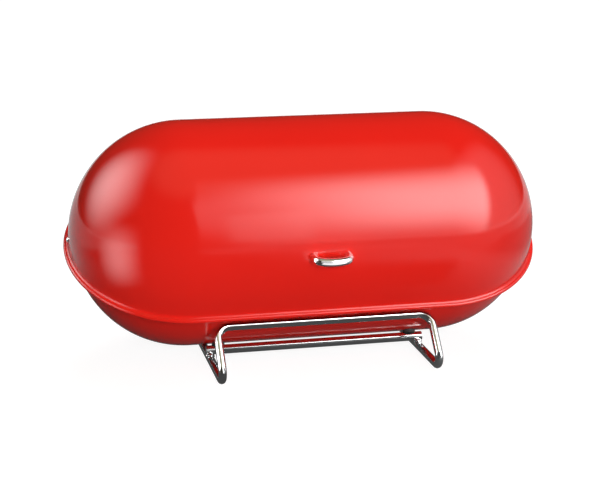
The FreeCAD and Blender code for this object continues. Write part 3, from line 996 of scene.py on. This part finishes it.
def white_floor():
    finish, tree, shader, place = new_finish("white_floor")
    distance = node(tree, "ShaderNodeVectorMath", {"operation": "LENGTH"}, {0: place}, output=1)
    far = smooth_step(distance, NEAR, FAR)
    feed(tree, shader,
         Base_Color=FLOOR_GREY,
         Roughness=1.0,
         Specular_IOR_Level=0.0,
         Emission_Color=is_seen(tree) * (NEAR_GLOW + (1 - NEAR_GLOW) * far),
         Emission_Strength=1.0)
    return finish


bpy.ops.object.select_all(action="DESELECT")
bpy.ops.mesh.primitive_plane_add(size=FLOOR_SIZE)
floor = bpy.context.object
floor.name = "floor"
floor.data.materials.append(white_floor())
print("floor", FLOOR_SIZE, "m wide")

# %% [markdown]
# Gloss paint shows the lights more than the light. A large reflector stands to the right with a
# wide faint one round it, another stands to the left, and a small low one stands close by there.
# A faint card and a small strip near the handle light it, and one more card lies on the table.
# All of them fade out towards their edges and let each other's light through. Only gloss and
# chrome see them.

# %% Reflectors
STAGE_RADIUS = 4.0


def towards(azimuth, elevation):
    """A direction: azimuth 0 is the front, positive to the right."""
    turn = math.radians(azimuth)
    rise = math.radians(elevation)
    level = math.cos(rise)
    return Vector((math.sin(turn) * level, -math.cos(turn) * level, math.sin(rise)))


def glow(name, strength, inner, outer, clear, fade):
    """Light that is full inside the inner half sizes and gone at the outer ones.

    Fade is where it starts to go on the right. A clear sheet adds its light to what is behind
    it, another one covers it.
    """
    finish, tree, shader, place = new_finish(name)
    tree.nodes.remove(shader)
    across = along(place, 0)
    sides = smooth_step(across, -outer[0], -inner[0]) * smooth_step(across, outer[0], fade)
    cover = sides * smooth_step(abs(along(place, 1)), outer[1], inner[1])
    glass = node(tree, "ShaderNodeBsdfTransparent")
    if clear:
        light = node(tree, "ShaderNodeEmission", None, {"Color": cover, "Strength": strength})
        sheet = node(tree, "ShaderNodeAddShader", None, {0: light, 1: glass})
    else:
        light = node(tree, "ShaderNodeEmission", None, {"Strength": strength})
        sheet = node(tree, "ShaderNodeMixShader", None, {0: cover, 1: glass, 2: light})
    feed(tree, tree.nodes["Material Output"], Surface=sheet)
    return finish


def seen_by_gloss_only(made):
    """Hide an object from the camera, and keep its light and its shadow off everything matt."""
    made.visible_camera = False
    made.visible_diffuse = False
    made.visible_shadow = False


def card(name, place, turn, strength, inner, outer, clear=True, fade=None):
    """A plane that only gloss sees."""
    bpy.ops.object.select_all(action="DESELECT")
    bpy.ops.mesh.primitive_plane_add(size=2, location=place, rotation=turn)
    made = bpy.context.object
    made.name = name
    made.scale = (outer[0], outer[1], 1)
    bpy.ops.object.transform_apply(location=False, rotation=False, scale=True)
    fade = inner[0] if fade is None else fade
    made.data.materials.append(glow(name, strength, inner, outer, clear, fade))
    seen_by_gloss_only(made)
    print("card", name)


def reflector(name, azimuth, elevation, strength, inner, outer,
              roll=0, distance=STAGE_RADIUS, fade=None):
    """A clear card that faces the bin; inner, outer and fade are angles in degrees."""
    fade = inner[0] if fade is None else fade
    inner = [distance * math.tan(math.radians(angle)) for angle in inner]
    outer = [distance * math.tan(math.radians(angle)) for angle in outer]
    fade = distance * math.tan(math.radians(fade))
    direction = towards(azimuth, elevation)
    turn = direction.to_track_quat("Z", "Y") @ Quaternion((0, 0, 1), math.radians(roll))
    card(name, AXIS + direction * distance, turn.to_euler(), strength, inner, outer, fade=fade)


def lying(turn=0):
    """Flat on the table, turned on it in degrees."""
    return (0, 0, math.radians(turn))


def standing(turn=0, lean=90):
    """Upright, or leaning, and turned on the table in degrees."""
    return (math.radians(lean), 0, math.radians(turn))


reflector("right_reflector", 40.3, 29.7, 8.5, (15.5, 4), (27.5, 35.5), roll=-18, fade=16.5)
reflector("wide_reflector", 64.9, 14.5, 1.4, (54, 34), (57, 51), roll=-6, fade=-20)
reflector("left_reflector", -108, 33, 6.5, (1, 1), (36.6, 35.5), roll=-31)
reflector("low_reflector", -68.6, -3.3, 4.8, (0.2, 0.2), (13.5, 17), distance=0.265)
card("handle_reflector", (-0.03, -0.19, 0.158), standing(), 0.8, (0.03, 0.028), (0.045, 0.043))
card("handle_strip", (0.002, -0.125, 0.0975), standing(lean=130), 1.1,
     (0.016, 0.004), (0.0205, 0.0095))
card("table_reflector", (0.19, -0.58, 0.001), lying(), 0.55, (0.02, 0.05), (0.22, 0.5))

# %% [markdown]
# A white floor would show in the gloss as well. A grey card covers it, dark ones lie on the grey
# where the paint is at its deepest red, and two standing flags hide the rest. They also give the
# chrome its dark side. These cards cover what is behind them, and again only gloss sees them.

# %% Grey and dark cards
card("grey_card", (0, 0, 0.0002), lying(), 0.65, (4.5, 4.5), (5, 5), clear=False)
card("dark_card", (-0.06, 0, 0.0004), lying(-21), 0.07, (0.16, 1.4), (0.38, 1.8), clear=False)
card("right_dark_card", (0.65, 0.1, 0.0006), lying(), 0.3, (0.2, 0.3), (0.35, 0.5), clear=False)
card("left_dark_card", (-1.0, -1.27, 0.0006), lying(-38), 0.05, (0.5, 1.25), (0.75, 1.6),
     clear=False)
card("front_dark_card", (-0.32, -2.0, 0.0008), lying(8.5), 0.05, (0.47, 1.1), (0.5, 1.25),
     clear=False)
card("left_flag", (-0.9, -2.34, 0.06), standing(-28), 0.05, (1.48, 0.08), (1.52, 0.1),
     clear=False)
card("stand_flag", (0.025, -0.14, 0.04), standing(), 0.06, (0.09, 0.02), (0.11, 0.042),
     clear=False)

# %% [markdown]
# The even light comes from wide lamps that gloss doesn't see: one in front, a little above the
# bin, one high up behind it on the right, and a weak one at each end. Multiple importance
# sampling is off, because with it a tenth of a hidden lamp still leaks into the gloss.

# %% Lamps
LAMP_DISTANCE = 2.5


def lamp(name, azimuth, elevation, size, watts):
    """A wide square lamp that faces the bin and that gloss doesn't see."""
    direction = towards(azimuth, elevation)
    bpy.ops.object.light_add(
        type="AREA",
        location=AXIS + direction * LAMP_DISTANCE,
        rotation=direction.to_track_quat("Z", "Y").to_euler(),
    )
    made = bpy.context.object
    made.name = name
    made.data.size = size
    made.data.energy = watts
    made.data.cycles.use_multiple_importance_sampling = False
    made.visible_glossy = False
    made.visible_camera = False
    print("lamp", name, watts, "W")


lamp("front_lamp", 0, 13, 1.2, 51)
lamp("rear_lamp", 150, 60, 2.0, 46)
lamp("right_lamp", 85, 25, 2.0, 18)
lamp("left_lamp", -95, 5, 2.0, 9)

# %% [markdown]
# The background is white to the camera wherever the floor ends. What it sheds on the bin is
# nearly nothing, apart from a warm glow of the ceiling. A dark tent with the same ceiling stands
# between them, and only gloss sees it: a white room all round would wash out the red.

# %% Room
TENT_RADIUS = 25
OVERHEAD_UP = 0.97
OVERHEAD_FRONT = 0.24
GLOW_START = 0.82
GLOW_FULL = 0.96
DIM = (0.04, 0.038, 0.026, 1)
WARM = (0.5, 0.475, 0.325, 1)
WHITE = (1, 1, 1, 1)


def ceiling(place, reach):
    """Dim, with a warm glow overhead; reach is how far away the places are."""
    overhead = OVERHEAD_UP * along(place, 2) - OVERHEAD_FRONT * along(place, 1)
    share = smooth_step(overhead, GLOW_START * reach, GLOW_FULL * reach)
    return mix_colour(share, DIM, WARM)


def white_room():
    """The world: white where it is seen, and nearly dark as a light."""
    world = scene.world or bpy.data.worlds.new("room")
    scene.world = world
    world.use_nodes = True
    tree = world.node_tree
    place = node(tree, "ShaderNodeTexCoord", output=0)
    colour = mix_colour(is_seen(tree), ceiling(place, 1), WHITE)
    feed(tree, tree.nodes["Background"], Color=colour, Strength=1.0)


def dark_tent():
    """The tent's finish, which glows like the ceiling and isn't sampled as a lamp."""
    finish, tree, shader, place = new_finish("dark_tent")
    tree.nodes.remove(shader)
    light = node(tree, "ShaderNodeEmission", None, {"Color": ceiling(place, TENT_RADIUS)})
    feed(tree, tree.nodes["Material Output"], Surface=light)
    finish.cycles.emission_sampling = "NONE"
    return finish


white_room()
bpy.ops.object.select_all(action="DESELECT")
bpy.ops.mesh.primitive_uv_sphere_add(segments=64, ring_count=32, radius=TENT_RADIUS)
tent = bpy.context.object
tent.name = "dark_tent"
tent.data.materials.append(dark_tent())
seen_by_gloss_only(tent)
print("tent", TENT_RADIUS, "m")
